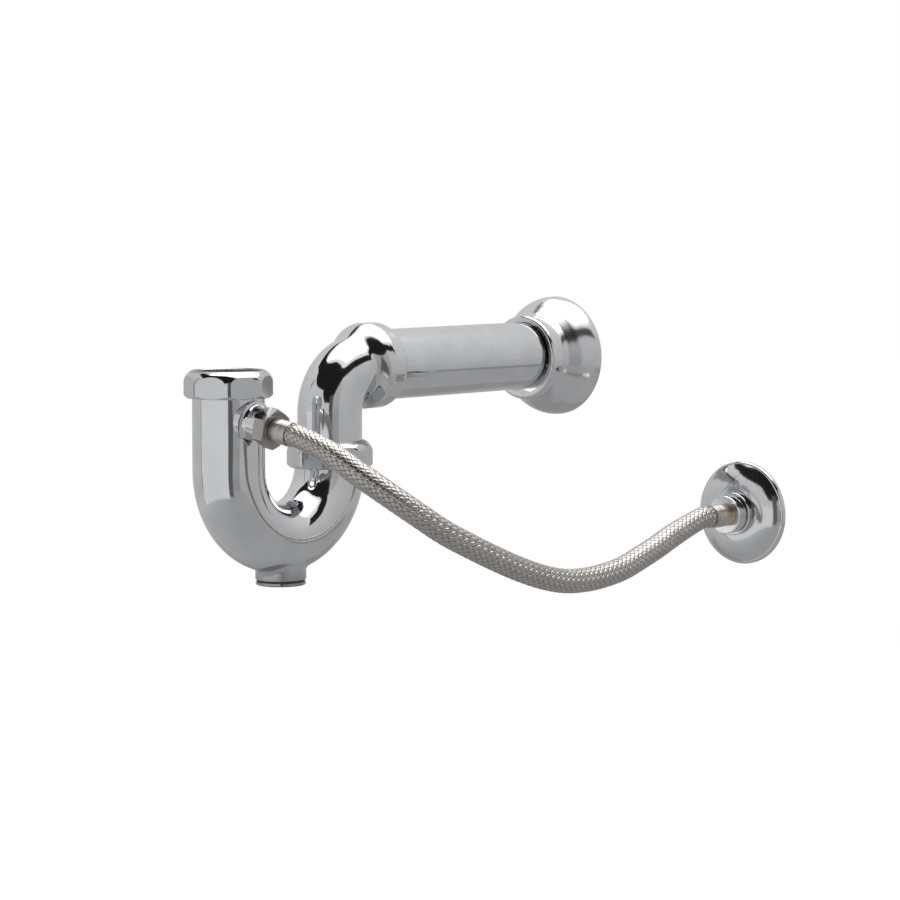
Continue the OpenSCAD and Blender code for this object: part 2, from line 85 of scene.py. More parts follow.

# Heights of the cleanout boss's foot, and of the bend above it where the painted shade and the dulling
# stop.
BOSS_HEIGHTS = (-0.119, -0.106)

# Middle of the return bend.
BEND_MIDDLE = (0.0, -0.24975, -0.055)

# Where the axes of the outlet leg and the arm meet.
ELBOW_CORNER = (0.0, -0.2085, 0.0)

# Where the photograph was taken from, with the camera's lens and film width in millimetres.
CAMERA_PLACE = (1.18898, -1.44297, 0.10237)
CAMERA_TURN = (math.radians(84.97), 0.0, math.radians(41.56))
CAMERA_LENS = 116.9
CAMERA_FILM = 36.0


# Settings

MOST_WATTS = 500.0


def length_property(name, about, default):
    return FloatProperty(name=name, description=about, default=default,
                         unit="LENGTH", subtype="DISTANCE", precision=5)


def colour_property(name, about, default):
    return FloatVectorProperty(name=name, description=about, default=default,
                               subtype="COLOR", size=3, min=0.0, max=1.0)


def power_property(name, about, default):
    return FloatProperty(name=name, description=about, default=default,
                         unit="POWER", min=0.0, max=MOST_WATTS)


class HoseSettings(bpy.types.PropertyGroup):
    end_radius: length_property("End radius", "Braid radius inside the two sleeves", 0.00652)
    middle_radius: length_property("Middle radius", "Braid radius between the sleeves", 0.00702)
    swell: length_property("Swell", "Length over which the braid opens out", 0.030)
    lead: length_property("Lead", "Length of hose in one turn of a strand", 0.050)
    strand_width: length_property("Strand width", "Width of one flat strand", 0.00280)
    strand_height: length_property("Strand height", "Thickness of one flat strand", 0.00026)
    weave: length_property("Weave", "How far a strand rises and dips at each crossing", 0.00014)
    strands: IntProperty(name="Strands", description="Strands in each direction",
                         default=12, min=4, max=24)


class BossSettings(bpy.types.PropertyGroup):
    boss_radius: length_property("Boss radius", "Outside radius of the cleanout boss", 0.0148)
    root_curve: length_property("Root curve", "Radius of the hollow curve at the boss's root", 0.0050)
    leg_radius: length_property("Leg radius", "Outside radius of the bent leg over it", 0.02065)
    bend_radius: length_property("Bend radius", "Radius of the bend's middle line", 0.04125)


class HubSettings(bpy.types.PropertyGroup):
    bend_radius: length_property("Bend radius", "Radius of the elbow's middle line", 0.027)
    tube_radius: length_property("Tube radius", "Outside radius of the elbow's bend", 0.01905)
    hub_radius: length_property("Hub radius", "Outside radius of the hub round the arm", 0.0255)
    root_turn: FloatProperty(name="Root turn", description="Turn of the bend where the hub's root starts",
                             default=math.radians(73.0), unit="ROTATION", subtype="ANGLE")
    root_reach: length_property("Root reach", "Reach of the root past the bend's end", 0.0010)


class FinishSettings(bpy.types.PropertyGroup):
    chrome: colour_property("Chrome", "Bright chrome plate", (0.70, 0.71, 0.725))
    nut_chrome: colour_property("Nut chrome", "Chrome on the two slip nuts", (0.62, 0.63, 0.645))
    pale_chrome: colour_property("Pale chrome", "New chrome on the wall adapter", (0.93, 0.935, 0.945))
    # Chrome on the cleanout plug and the hose nut, set darker than the rest.
    darker_chrome: colour_property("Darker chrome", "Plate that a wrench has dulled", (0.36, 0.353, 0.342))
    braid: colour_property("Braid", "Steel wire on the outside of the braid", (0.66, 0.63, 0.60))
    # Painted shade: the braid's colour in the grooves between wires and where a strand dips under.
    braid_painted_shade: colour_property("Braid shade", "Steel wire between the crossings", (0.26, 0.243, 0.228))
    nickel: colour_property("Nickel", "Plated sleeves on the hose", (0.68, 0.62, 0.58))
    brass: colour_property("Brass", "Bare brass thread", (0.78, 0.62, 0.47))
    steel: colour_property("Steel", "The bell's set screw", (0.92, 0.92, 0.93))
    rubber: colour_property("Rubber", "Black rubber washers", (0.018, 0.018, 0.019))


class StageSettings(bpy.types.PropertyGroup):
    floor_height: length_property("Floor height", "Height of the floor below the wall outlet", -0.46)
    floor_colour: colour_property("Floor", "Pale floor and backdrop", (0.90, 0.90, 0.90))
    top_light: power_property("Top light", "Power of the soft box overhead", 30.0)
    side_light: power_property("Side light", "Power of the soft box on the left", 8.0)


# Shaders


class Wire:
    """A shader socket that takes part in arithmetic. Each operation adds a Math node."""

    def __init__(self, finish, socket):
        self.finish = finish
        self.socket = socket

    def _math(self, operation, first, second):
        return self.finish.node("ShaderNodeMath", {"operation": operation}, {0: first, 1: second})

    def __add__(self, other):
        return self._math("ADD", self, other)

    def __radd__(self, other):
        return self._math("ADD", other, self)

    def __sub__(self, other):
        return self._math("SUBTRACT", self, other)

    def __rsub__(self, other):
        return self._math("SUBTRACT", other, self)

    def __mul__(self, other):
        return self._math("MULTIPLY", self, other)

    def __rmul__(self, other):
        return self._math("MULTIPLY", other, self)

    def __gt__(self, other):
        return self._math("GREATER_THAN", self, other)


class Finish:
    """A node material, or the world's nodes, built a node at a time."""

    def __init__(self, owner):
        owner.use_nodes = True
        self.owner = owner
        self.tree = owner.node_tree
        self.tree.nodes.clear()

    def node(self, kind, settings=None, inputs=None, out=0):
        made = self.tree.nodes.new(kind)
        for key, value in (settings or {}).items():
            setattr(made, key, value)
        for key, value in (inputs or {}).items():
            if isinstance(value, Wire):
                self.tree.links.new(value.socket, made.inputs[key])
            else:
                made.inputs[key].default_value = value
        return Wire(self, made.outputs[out]) if made.outputs else made

    def place(self):
        return self.node("ShaderNodeTexCoord", out="Object")

    def height(self):
        return self.node("ShaderNodeSeparateXYZ", None, {"Vector": self.place()}, out="Z")

    def away_from(self, x, y):
        """Distance from an upright line."""
        flat = self.node("ShaderNodeVectorMath", {"operation": "MULTIPLY_ADD"},
                         {0: self.place(), 1: (1.0, 1.0, 0.0), 2: (-x, -y, 0.0)})
        return self.node("ShaderNodeVectorMath", {"operation": "LENGTH"}, {0: flat}, out="Value")

    def noise(self, scale, detail):
        return self.node("ShaderNodeTexNoise", None,
                         {"Vector": self.place(), "Scale": scale, "Detail": detail})

    def spread(self, value, low, high):
        """0 up to a low value, 1 from a high one, and evenly between them."""
        return self.node("ShaderNodeMapRange", {"clamp": True},
                         {"Value": value, "From Min": low, "From Max": high})

    def patches(self, scale, detail, low=0.35, high=0.70):
        """Soft patches of noise, from 0 to 1."""
        return self.spread(self.noise(scale, detail), low, high)

    def mix(self, factor, first, second):
        return self.node("ShaderNodeMix", {"data_type": "RGBA"},
                         {0: factor, 6: rgba(first), 7: rgba(second)}, out=2)

    def bump(self, height, distance, strength=1.0, under=None):
        inputs = {"Height": height, "Distance": distance, "Strength": strength}
        if under is not None:
            inputs["Normal"] = under
        return self.node("ShaderNodeBump", None, inputs)

    def surface(self, **inputs):
        named = {key.replace("_", " "): value for key, value in inputs.items()}
        return self.output(self.node("ShaderNodeBsdfPrincipled", None, named))

    def glow(self, level, strength=1.0):
        return self.node("ShaderNodeEmission", None,
                         {"Color": (level, level, level, 1.0), "Strength": strength})

    def output(self, shader):
        self.node("ShaderNodeOutputMaterial", None, {"Surface": shader})
        return self.owner


def rgba(colour):
    return colour if isinstance(colour, Wire) else (*colour, 1.0)


def share_of(colour, share):
    return tuple(share * c for c in colour)


def between(factor, ends):
    """Goes from one end to the other with a factor from 0 to 1."""
    return ends[0] + factor * (ends[1] - ends[0])


def new_finish(name):
    return Finish(bpy.data.materials.new(name))


def in_nut_mouths(f):
    """1 in the mouths of the slip nuts and on the lip round them, 0 elsewhere: painted shade in the
    mouths, and a darker, duller lip.
    """
    inside = [1.0 - (f.away_from(x, y) > radius) for x, y, radius in NUT_MOUTHS]
    return inside[0] + inside[1]


def near_the_boss(f):
    """Rises from 0 on the return bend to 1 at the foot of the cleanout boss: painted shade and duller
    plate towards the boss.
    """
    return 1.0 - f.spread(f.height(), *BOSS_HEIGHTS)


# Chrome: brightness of hazy plate, and of plate darkened by painted shade, as a share; and how much
# rougher the marks and the dulled places are.
HAZE_SHARE, PAINTED_SHADE_SHARE = 0.915, 0.66
HAZE_ROUGHER, SPOT_ROUGHER, DULL_ROUGHER = 0.035, 0.08, 0.30


def chrome_finish(name, bright, ripple, grain, dull, painted_shade_and_dull=None):
    """Polished chrome plate: a faint ripple from the metal under it, haze and dried water spots.

    Where a mask is given, painted shade darkens the plate there, and the plate is duller.
    """
    f = new_finish(name)
    shade = share_of(bright, HAZE_SHARE)
    haze = f.patches(scale=55.0, detail=4.0)
    cells = f.node("ShaderNodeTexVoronoi", {"feature": "F1"},
                   {"Vector": f.place(), "Scale": 160.0}, out="Distance")
    spot = 1.0 - f.spread(cells, low=0.05, high=0.16)
    marks = spot * f.patches(scale=18.0, detail=2.0, low=0.55, high=0.62)
    wave = f.bump(f.noise(scale=28.0, detail=1.0), ripple)
    skin = f.bump(f.noise(scale=900.0, detail=2.0), grain, under=wave)
    colour = f.mix(haze, bright, shade)
    rough = dull + haze * HAZE_ROUGHER + marks * SPOT_ROUGHER
    # Painted shade: the mask darkens the colour, and the same mask makes the plate rougher.
    if painted_shade_and_dull:
        shaded_and_dulled = painted_shade_and_dull(f)
        colour = f.mix(shaded_and_dulled, colour, share_of(shade, PAINTED_SHADE_SHARE))
        rough = rough + shaded_and_dulled * DULL_ROUGHER
    return f.surface(Base_Color=colour, Metallic=1.0, Roughness=rough, Normal=skin)


def patchy_metal(name, colour, patch_scale, patch_detail, dark_share, roughness,
                 grain_scale, grain_detail, grain_depth):
    """Bare or plated metal, darker and rougher in patches, with a fine grain."""
    f = new_finish(name)
    patches = f.patches(patch_scale, patch_detail)
    return f.surface(
        Base_Color=f.mix(patches, colour, share_of(colour, dark_share)),
        Metallic=1.0,
        Roughness=between(patches, roughness),
        Normal=f.bump(f.noise(grain_scale, grain_detail), grain_depth),
    )


def brass_finish(colour):
    """Bare brass, tarnished in patches."""
    return patchy_metal("bare_brass", colour, patch_scale=220.0, patch_detail=5.0, dark_share=0.55,
                        roughness=(0.24, 0.46), grain_scale=1500.0, grain_detail=2.0,
                        grain_depth=0.00003)


def nickel_finish(colour):
    """Rolled and plated sleeves, a little clouded."""
    return patchy_metal("nickel_sleeve", colour, patch_scale=120.0, patch_detail=4.0, dark_share=0.72,
                        roughness=(0.26, 0.40), grain_scale=700.0, grain_detail=3.0,
                        grain_depth=0.00004)


def steel_finish(colour):
    """Ground steel of the set screw."""
    return patchy_metal("screw_steel", colour, patch_scale=300.0, patch_detail=4.0, dark_share=0.5,
                        roughness=(0.30, 0.50), grain_scale=1400.0, grain_detail=2.0,
                        grain_depth=0.00002)


# Rubber: dust is this many times paler than the rubber, plus a little; roughness clean and dusty.
DUST_PALER, DUST_GREY = 2.2, 0.01
RUBBER_ROUGHNESS = (0.55, 0.80)


def rubber_finish(colour):
    """Black rubber with pale dust in patches."""
    f = new_finish("black_washer")
    dust = f.patches(scale=240.0, detail=5.0, low=0.45, high=0.75)
    pale = tuple(min(1.0, DUST_PALER * c + DUST_GREY) for c in colour)
    return f.surface(
        Base_Color=f.mix(dust, colour, pale),
        Roughness=between(dust, RUBBER_ROUGHNESS),
        Normal=f.bump(f.noise(scale=1800.0, detail=3.0), 0.00005),
    )


# Braid: wires side by side in a strand, the depth of the grooves between them, the brightness of
# stained wire as a share, and the least painted light, as painted shade, on a strand that dips under.
STRAND_WIRES = 8.0
GROOVE_DEPTH, GROOVE_STRENGTH = 0.00008, 0.6
STAIN_SHARE = 0.84
DIPPED_PAINTED_LIGHT = 0.4
BRAID_ROUGHNESS, PAINTED_LIGHT_SMOOTHER, STAIN_ROUGHER = 0.24, 0.06, 0.06


def braid_finish(bright, shade):
    """Fine steel wires laid side by side in each strand, with painted shade in the grooves between wires
    and where a strand dips under.
    """
    f = new_finish("steel_braid")
    lay = f.node("ShaderNodeUVMap", {"uv_map": "strand"})
    across = f.node("ShaderNodeSeparateXYZ", None, {"Vector": lay}, out="X")
    wires = f.node("ShaderNodeMath", {"operation": "PINGPONG"}, {0: across * STRAND_WIRES, 1: 0.5})
    groove_painted_light = f.spread(wires, low=0.0, high=0.30)
    lift = f.node("ShaderNodeAttribute", {"attribute_name": "lift"}, out="Fac")
    stain = f.patches(scale=90.0, detail=4.0, low=0.30, high=0.75)
    # Painted shade: the colour falls to the shade colour in the grooves between wires and where a strand
    # dips under, and wire out of the painted shade is smoother.
    painted_light = groove_painted_light * between(lift, (DIPPED_PAINTED_LIGHT, 1.0))
    return f.surface(
        Base_Color=f.mix(painted_light, shade, f.mix(stain, bright, share_of(bright, STAIN_SHARE))),
        Metallic=1.0,
        Roughness=BRAID_ROUGHNESS - painted_light * PAINTED_LIGHT_SMOOTHER + stain * STAIN_ROUGHER,
        Normal=f.bump(wires, GROOVE_DEPTH, GROOVE_STRENGTH),
    )


# Modelling


def clear_selection():
    if bpy.context.mode != "OBJECT":
        bpy.ops.object.mode_set(mode="OBJECT")
    bpy.ops.object.select_all(action="DESELECT")


def face_outwards(made):
    bpy.context.view_layer.objects.active = made
    made.select_set(True)
    bpy.ops.object.mode_set(mode="EDIT")
    bpy.ops.mesh.select_all(action="SELECT")
    bpy.ops.mesh.normals_make_consistent(inside=False)
    bpy.ops.object.mode_set(mode="OBJECT")


def give_finishes(kinds):
    """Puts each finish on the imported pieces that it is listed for."""
    for names, material in kinds.items():
        for name in names:
            NODES[name].material_slots[0].material = material


# Camera


class PTRAP_OT_camera(bpy.types.Operator):
    """Sets the camera where the photograph was taken from"""
    bl_idname = "ptrap.camera"
    bl_label = "Camera"

    def execute(self, context):
        bpy.ops.object.camera_add(location=CAMERA_PLACE, rotation=CAMERA_TURN)
        camera = context.object
        camera.name = "photo_camera"
        camera.data.lens = CAMERA_LENS
        camera.data.sensor_width = CAMERA_FILM
        context.scene.camera = camera
        return {"FINISHED"}


# Hose

# Points on the smooth route between two points of the list, and in its first measure.
CURVE_POINTS = 40
MEASURE_POINTS = 900
# Steps along a strand from one crossing to the next, and from one point of the cord's path on.
CROSSING_STEPS = 4
PATH_STEPS = 8
# Length of hose that a sleeve holds at its full grip.
SLEEVE_GRIP = 0.012
# Outline of a flat strand: shares of half its width, and of its height.
STRAND_OUTLINE = [(-1.0, 0.60), (-0.62, 0.90), (0.0, 1.0), (0.62, 0.90), (1.0, 0.60), (0.0, 0.0)]


def smooth_step(share):
    return share * share * (3.0 - 2.0 * share)


def smooth_route(points, count):
    """Evenly spaced points on a smooth curve through the route, with their distance along it."""
    knots = np.array(points)
    ends = np.vstack([2 * knots[0] - knots[1], knots, 2 * knots[-1] - knots[-2]])
    t = np.linspace(0.0, 1.0, CURVE_POINTS, endpoint=False)[:, None]
    fine = []
    for a, b, c, d in zip(ends[:-3], ends[1:-2], ends[2:-1], ends[3:]):
        fine.append(0.5 * (2 * b + (c - a) * t + (2 * a - 5 * b + 4 * c - d) * t**2
                           + (3 * b - a - 3 * c + d) * t**3))
    fine = np.vstack(fine + [knots[-1:]])
    far = np.concatenate([[0.0], np.cumsum(np.linalg.norm(np.diff(fine, axis=0), axis=1))])
    even = np.linspace(0.0, far[-1], count)
    line = np.column_stack([np.interp(even, far, fine[:, axis]) for axis in range(3)])
    return line, even


def carried_frames(line):
    """Two unit vectors across the line at each point, carried along it without twist."""
    along = np.gradient(line, axis=0)
    along /= np.linalg.norm(along, axis=1, keepdims=True)
    first = np.cross(along[0], (0.0, 0.0, 1.0))
    sides = [first / np.linalg.norm(first)]
    for tangent in along[1:]:
        side = sides[-1] - tangent * np.dot(sides[-1], tangent)
        sides.append(side / np.linalg.norm(side))
    sides = np.array(sides)
    return sides, np.cross(along, sides)


class Braid:
    """The points, faces and wire marks of flat strands wound both ways over and under each other."""

    def __init__(self, hose):
        self.hose = hose
        route, _ = smooth_route(HOSE_ROUTE, MEASURE_POINTS)
        self.total = float(np.linalg.norm(np.diff(route, axis=0), axis=1).sum())
        self.steps = int(round(2 * CROSSING_STEPS * hose.strands * self.total / hose.lead))
        self.line, self.even = smooth_route(HOSE_ROUTE, self.steps + 1)
        self.side, self.up = carried_frames(self.line)
        from_end = np.minimum(self.even, self.total - self.even)
        opened = smooth_step(np.clip((from_end - SLEEVE_GRIP) / hose.swell, 0.0, 1.0))
        self.radius = hose.end_radius + (hose.middle_radius - hose.end_radius) * opened
        self.points, self.faces, self.strand_uv, self.lift = [], [], [], []
        for sense in (1, -1):
            for strand in range(hose.strands):
                self.wind(sense, 2 * math.pi * strand / hose.strands)

    def at(self, values, far):
        """Values at the steps along the hose, read off at given distances."""
        step = far / self.total * self.steps
        every = np.arange(self.steps + 1)
        return np.stack([np.interp(step, every, values[:, axis]) for axis in range(3)], axis=-1)

    def wind(self, sense, phase):
        """Winds one strand round the hose."""
        hose, even = self.hose, self.even
        outline = np.array(STRAND_OUTLINE)
        width = outline[:, 0] * hose.strand_width / 2
        height = outline[:, 1] * hose.strand_height
        slope = math.atan2(2 * math.pi * hose.middle_radius, hose.lead)
        wave = sense * np.cos(math.pi * np.arange(self.steps + 1) / CROSSING_STEPS)
        floor = self.radius - hose.strand_height - hose.weave + hose.weave * wave
        turn = sense * 2 * math.pi * even / hose.lead + phase
        angle = turn[:, None] + width * math.cos(slope) / self.radius[:, None]
        far = np.clip(even[:, None] - sense * width * math.sin(slope), 0.0, self.total)
        out = (np.cos(angle)[..., None] * self.at(self.side, far)
               + np.sin(angle)[..., None] * self.at(self.up, far))
        places = self.at(self.line, far) + out * (floor[:, None] + height)[..., None]

        base, ring = len(self.points), len(outline)
        self.points.extend(places.reshape(-1, 3).tolist())
        across = 0.5 + 0.5 * outline[:, 0]
        self.strand_uv.extend((share, along) for along in even / hose.lead for share in across)
        # How high each point is lifted; the braid's finish paints shade where a strand dips under.
        self.lift.extend(np.repeat(0.5 + 0.5 * wave, ring))
        for start in range(base, base + self.steps * ring, ring):
            for corner in range(ring):
                here, after = start + corner, start + (corner + 1) % ring
                self.faces.append((here, after, after + ring, here + ring))
        end = base + self.steps * ring
        self.faces.append(tuple(range(base, base + ring)))
        self.faces.append(tuple(reversed(range(end, end + ring))))

    def as_object(self, name):
        """A mesh object of all strands, with their wire marks and how high each point is lifted."""
        mesh = bpy.data.meshes.new(name)
        mesh.from_pydata(self.points, [], self.faces)
        layer = mesh.uv_layers.new(name="strand")
        corners = np.array([self.strand_uv[loop.vertex_index] for loop in mesh.loops], np.float32)
        layer.data.foreach_set("uv", corners.ravel())
        lift = mesh.attributes.new("lift", "FLOAT", "POINT")
        lift.data.foreach_set("value", np.array(self.lift, np.float32))
        made = bpy.data.objects.new(name, mesh)
        bpy.context.scene.collection.objects.link(made)
        return made


class PTRAP_OT_hose(bpy.types.Operator):
    """Braids the primer hose along its route"""
    bl_idname = "ptrap.hose"
    bl_label = "Braided hose"

    def execute(self, context):
        clear_selection()
        hose = context.scene.ptrap_hose
        braid = Braid(hose)
        made = braid.as_object("braided_hose")
        face_outwards(made)
        bpy.ops.object.shade_smooth()
        finish = context.scene.ptrap_finish
        made.data.materials.append(braid_finish(finish.braid, finish.braid_painted_shade))
        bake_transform(made)
        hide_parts("primer_hose", "hose_liner")
        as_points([tuple(p) for p in braid.line[::PATH_STEPS]] + [tuple(braid.line[-1])])
        return {"FINISHED"}


# Castings, nuts and plates


class PTRAP_OT_chrome(bpy.types.Operator):
    """Plates the castings, nuts, tube and wall plates with chrome"""
    bl_idname = "ptrap.chrome"
    bl_label = "Chrome"

    def execute(self, context):
        finish = context.scene.ptrap_finish
        give_finishes({
            # The castings get painted shade and duller plate towards the foot of the cleanout boss.
            ("trap_body", "elbow"): chrome_finish(
                "chrome_on_casting", finish.chrome,
                ripple=0.00030, grain=0.000003, dull=0.065, painted_shade_and_dull=near_the_boss),
            # The slip nuts get painted shade in their mouths, and a darker, duller lip.
            ("inlet_nut", "union_nut"): chrome_finish(
                "chrome_on_slip_nut", finish.nut_chrome,
                ripple=0.00006, grain=0.000003, dull=0.060, painted_shade_and_dull=in_nut_mouths),
            ("wall_adapter",): chrome_finish(
                "chrome_on_adapter", finish.pale_chrome, ripple=0.00006, grain=0.000003, dull=0.120),
            # The cleanout plug and the hose nut get chrome that is darker and duller than the rest.
            ("cleanout_plug", "hose_nut"): chrome_finish(
                "chrome_on_small_nut", finish.darker_chrome, ripple=0.00006, grain=0.000003, dull=0.120),
            ("waste_arm",): chrome_finish(
                "chrome_on_tube", finish.chrome, ripple=0.00004, grain=0.000002, dull=0.085),
            ("wall_bell",): chrome_finish(
                "chrome_on_bell", finish.chrome, ripple=0.00008, grain=0.000002, dull=0.160),
            ("wall_flange",): chrome_finish(
                "chrome_on_flange", finish.chrome, ripple=0.00008, grain=0.000002, dull=0.095),
        })
        return {"FINISHED"}


class PTRAP_OT_small_parts(bpy.types.Operator):
    """Gives the sleeves, stems, screw and washers their finishes"""
    bl_idname = "ptrap.small_parts"
    bl_label = "Sleeves, stems and washers"

    def execute(self, context):
        finish = context.scene.ptrap_finish
        give_finishes({
            ("trap_ferrule", "wall_ferrule"): nickel_finish(finish.nickel),
            ("trap_stem", "wall_stem"): brass_finish(finish.brass),
            ("bell_set_screw",): steel_finish(finish.steel),
            ("cleanout_washer", "hose_gasket", "inlet_washer", "union_washer"):
                rubber_finish(finish.rubber),
        })
        return {"FINISHED"}


# Cast roots

# Sections round a root, and the angle from which its edges stay sharp.
ROOT_TURNS = 96
ROOT_EDGE = math.radians(40.0)


def cast_root(name, casting, sides, ring_radius, tube_radius, place):
    """A closed ring in a casting's finish: a torus laid out again by its turn and side."""
    clear_selection()
    bpy.ops.mesh.primitive_torus_add(major_segments=ROOT_TURNS, minor_segments=sides,
                                     major_radius=ring_radius, minor_radius=tube_radius)
    made = bpy.context.object
    made.name = name
    for index, vertex in enumerate(made.data.vertices):
        turn = 2 * math.pi * (index // sides) / ROOT_TURNS
        vertex.co = place(turn, index % sides)
    face_outwards(made)
    bpy.ops.object.shade_smooth_by_angle(angle=ROOT_EDGE)
    made.data.materials.append(NODES[casting].material_slots[0].material)
    return made


# Boss: points in a section, how far its curve sinks into the castings, and how far its hidden
# corner does; then the step and the rounds in which the curve's foot is found.
BOSS_SIDES = 12
BOSS_SINK = 0.00004
BOSS_CORNER = 0.0008
FOOT_STEP = 1e-5
FOOT_ROUNDS = 20


def bend_underside(boss, x, y):
    """Height of the bend's underside, at a place measured from the middle of the bend."""
    across = boss.bend_radius + math.sqrt(boss.leg_radius**2 - x * x)
    return BEND_MIDDLE[2] - math.sqrt(across**2 - y * y)


def boss_root_section(boss, turn):
    """Section of the hollow curve between bend and boss: distance from the axis, and height."""

    def under(out):
        return bend_underside(boss, out * math.cos(turn), out * math.sin(turn))

    curve = boss.root_curve
    middle = boss.boss_radius + curve
    foot = boss.boss_radius + curve / 2
    for _ in range(FOOT_ROUNDS):
        lean = math.atan((under(foot + FOOT_STEP) - under(foot)) / FOOT_STEP)
        foot += 0.5 * (middle - curve * math.sin(lean) - foot)
    height = under(foot) + ((middle - foot) * math.sin(lean) - curve) / math.cos(lean)
    section = []
    for angle in np.linspace(math.pi, lean + math.pi / 2, BOSS_SIDES - 1):
        section.append((middle + (curve + BOSS_SINK) * math.cos(angle),
                        height + (curve + BOSS_SINK) * math.sin(angle)))
    section.append((boss.boss_radius - BOSS_CORNER, under(boss.boss_radius) + BOSS_CORNER))
    return section


class PTRAP_OT_boss_root(bpy.types.Operator):
    """Fills the corner between the bend and the cleanout boss with a hollow curve"""
    bl_idname = "ptrap.boss_root"
    bl_label = "Root of the boss"

    def execute(self, context):
        boss = context.scene.ptrap_boss

        def place(turn, side):
            out, height = boss_root_section(boss, turn)[side]
            return (BEND_MIDDLE[0] + out * math.cos(turn), BEND_MIDDLE[1] + out * math.sin(turn), height)

        made = cast_root("cleanout_boss_root", "trap_body", BOSS_SIDES,
                         boss.boss_radius, boss.root_curve / 2, place)
        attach(made, "trap")
        return {"FINISHED"}


# Hub: points along its root, how far the root stands off the castings, and its thickness.
HUB_STEPS = 16
HUB_SKIN = 0.00003
HUB_DEPTH = 0.0011


def elbow_point(hub, along, out, turn):
    """A point round the elbow's middle line, at a distance along it from the foot of the bend."""
    angle = min(along / hub.bend_radius, math.pi / 2)
    past = along - angle * hub.bend_radius
    c, s = math.cos(angle), math.sin(angle)
    side = out * math.cos(turn)
    return (
        ELBOW_CORNER[0] + out * math.sin(turn),
        ELBOW_CORNER[1] + hub.bend_radius * (1.0 - c) + past - side * c,
        ELBOW_CORNER[2] - hub.bend_radius * (1.0 - s) + side * s,
    )


def hub_root_section(hub):
    """Section of the hub's root: distance along the elbow, and out from its middle line."""
    start = hub.bend_radius * hub.root_turn
    end = hub.bend_radius * math.pi / 2 + hub.root_reach
    shares = np.linspace(0.0, 1.0, HUB_STEPS)
    along = start + (end - start) * shares
    out = hub.tube_radius + (hub.hub_radius - hub.tube_radius) * smooth_step(shares)
    skin = list(zip(along, out + HUB_SKIN))
    back = list(zip(along, out - HUB_DEPTH))
    return skin + back[::-1]


class PTRAP_OT_hub_root(bpy.types.Operator):
    """Runs the elbow's bend smoothly out into the hub"""
    bl_idname = "ptrap.hub_root"
    bl_label = "Root of the hub"

    def execute(self, context):
        hub = context.scene.ptrap_hub
        section = hub_root_section(hub)

        def place(turn, side):
            return elbow_point(hub, *section[side], turn)

        made = cast_root("elbow_hub_root", "elbow", len(section), hub.hub_radius, HUB_DEPTH, place)
        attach(made, "fixed_arm")
        return {"FINISHED"}


# Stage

RIGHT = Vector((math.cos(CAMERA_TURN[2]), math.sin(CAMERA_TURN[2]), 0.0))
FRONT = Vector((math.sin(CAMERA_TURN[2]), -math.cos(CAMERA_TURN[2]), 0.0))
MIDDLE = Vector((0.075, -0.165, -0.045))

# Cards seen only in the chrome: name, distance, brightness at the lower and upper edge, and
# outline. The outline gives degrees round to the right of the camera, with the lower and upper
# edge in degrees up.
CARDS = [
    ("left_card", 0.85, (0.80, 0.80), [(-86, -26, 2), (-7, -26, 2)]),
    ("left_edge", 0.86, (0.25, 0.10), [(-89, -26, 34), (-87, -26, 34)]),
    ("left_upper", 1.25, (0.66, 0.74), [
        (-92, 0, 42), (-67, 0, 33), (-34, 0, 30), (-30, 0, 14), (3, 0, 12)]),
    ("left_wall", 1.30, (0.50, 0.80), [(-180, -24, 38), (-142, -24, 46), (-90, -24, 43)]),
    ("camera_stand", 0.84, (0.14, 0.10), [(-7, -24, 22), (6, -24, 22)]),
    ("front_wall", 1.32, (0.30, 0.58), [(0, -24, 12), (18, -24, 28), (32, -24, 38)]),
    ("right_wall", 1.32, (0.46, 0.68), [(32, -24, 38), (60, -24, 38), (82, -24, 31), (96, -24, 22)]),
    ("right_back", 1.33, (0.44, 0.80), [(95, -24, 22), (100, -24, 46), (180, -24, 46)]),
    ("right_foot", 1.22, (0.26, 0.30), [(88, -28, -15), (112, -28, -15)]),
    ("dark_flag", 1.40, (0.015, 0.015), [
        (-180, 32, 38), (-142, 44, 52), (-112, 44, 56), (-90, 40, 60), (-67, 32, 66), (-52, 28, 70),
        (-34, 26, 72), (-22, 12, 72), (0, 2, 68), (12, 0, 64), (20, 20, 57), (32, 34, 54),
        (60, 36, 54), (82, 28, 47), (94, 18, 40)]),
]
CARD_GRID = (60, 8)

# Grey patches on the floor, seen only in the chrome: name, size, distance behind the object,
# and brightness on the right and on the left.
FLOOR_PATCHES = [
    ("grey_sweep", 3.2, 0.0, (0.42, 0.60)),
    ("floor_shade", 0.75, 0.50, (0.42, 0.42)),
    ("floor_dark", 0.55, 0.52, (0.34, 0.34)),
]
# How far left of the object the floor starts to brighten, and where it is brightest.
FLOOR_BRIGHTENS = (0.10, 0.90)
# Height of the lowest patch over the floor, and of each next one over the last.
PATCH_LIFT, PATCH_STEP = 0.02, 0.004

# Floor: its width, the share of plain white in it, that white's level, and the brightness of its
# specks as a share.
FLOOR_WIDTH = 14.0
FLOOR_WHITE_SHARE = 0.88
FLOOR_WHITE = 1.02
FLOOR_SPECK_SHARE = 0.98

# Soft boxes: name, degrees round and up, distance, width, the setting of their power, and whether
# the chrome shows them.
SOFT_BOXES = [
    ("top_box", (150.0, 72.0), 1.7, 2.0, "top_light", True),
    ("left_box", (-60.0, 30.0), 1.8, 1.0, "side_light", False),
]

# Light that the white surroundings shed. They look fully white.
SKY_LIGHT = 0.95


def direction(round_deg, up_deg):
    """A unit vector, by degrees round to the right of the camera and degrees up."""
    turn, rise = math.radians(round_deg), math.radians(up_deg)
    level = FRONT * math.cos(turn) + RIGHT * math.sin(turn)
    return level * math.cos(rise) + Vector((0, 0, math.sin(rise)))


